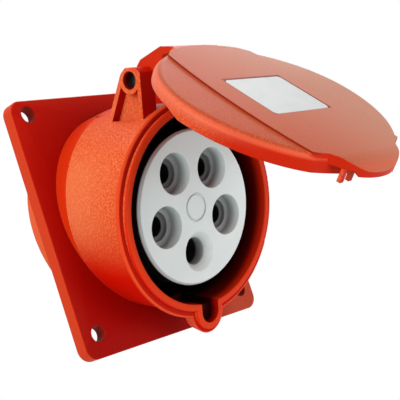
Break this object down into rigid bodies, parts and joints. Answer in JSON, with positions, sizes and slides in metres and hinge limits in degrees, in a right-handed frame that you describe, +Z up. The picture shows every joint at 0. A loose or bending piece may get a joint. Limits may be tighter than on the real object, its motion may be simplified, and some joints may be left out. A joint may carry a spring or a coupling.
{
  "type": "panel socket",
  "caption": "Round industrial power socket for a panel, on a square flange with a sloping body, sprung hinged lid and contact insert.",
  "frame": {"origin": "centre of the four panel holes, on the flange's back face", "axes": "+Z up, +Y into the panel, +X to the right of someone facing the socket"},
  "size_m": [0.083, 0.1373, 0.0917],
  "materials": {
    "red_plastic": "fine grain",
    "grey_plastic": "satin",
    "dark_plastic": "satin",
    "rubber": "matt",
    "brass": "turned",
    "spring_steel": "drawn",
    "plated_steel": "zinc plated",
    "black_steel": "blackened",
    "label_film": "bare"
  },
  "bodies": {
    "housing": {"housing": "red_plastic", "contact_insert": "grey_plastic", "terminal_carrier": "dark_plastic", "panel_gasket": "rubber", "sleeve_earth": "brass", "sleeve_line_1": "brass", "sleeve_line_2": "brass", "sleeve_line_3": "brass", "sleeve_neutral": "brass", "clamp_ring_earth": "spring_steel", "clamp_ring_line_1": "spring_steel", "clamp_ring_line_2": "spring_steel", "clamp_ring_line_3": "spring_steel", "clamp_ring_neutral": "spring_steel", "terminal_screw_earth": "plated_steel", "terminal_screw_line_1": "plated_steel", "terminal_screw_line_2": "plated_steel", "terminal_screw_line_3": "plated_steel", "terminal_screw_neutral": "plated_steel", "insert_screws": "plated_steel", "carrier_screw": "plated_steel", "hinge_pin": "black_steel"},
    "lid": {"lid": "red_plastic", "lid_gasket": "rubber", "label": "label_film", "lid_spring": "spring_steel"}
  },
  "joints": [
    {"name": "lid_hinge", "type": "hinge", "parent": "housing", "child": "lid", "pos_m": [0, -0.03644, 0.03538], "axis": [-1, 0, 0], "range_deg": [-61.15, 49]}
  ]
}
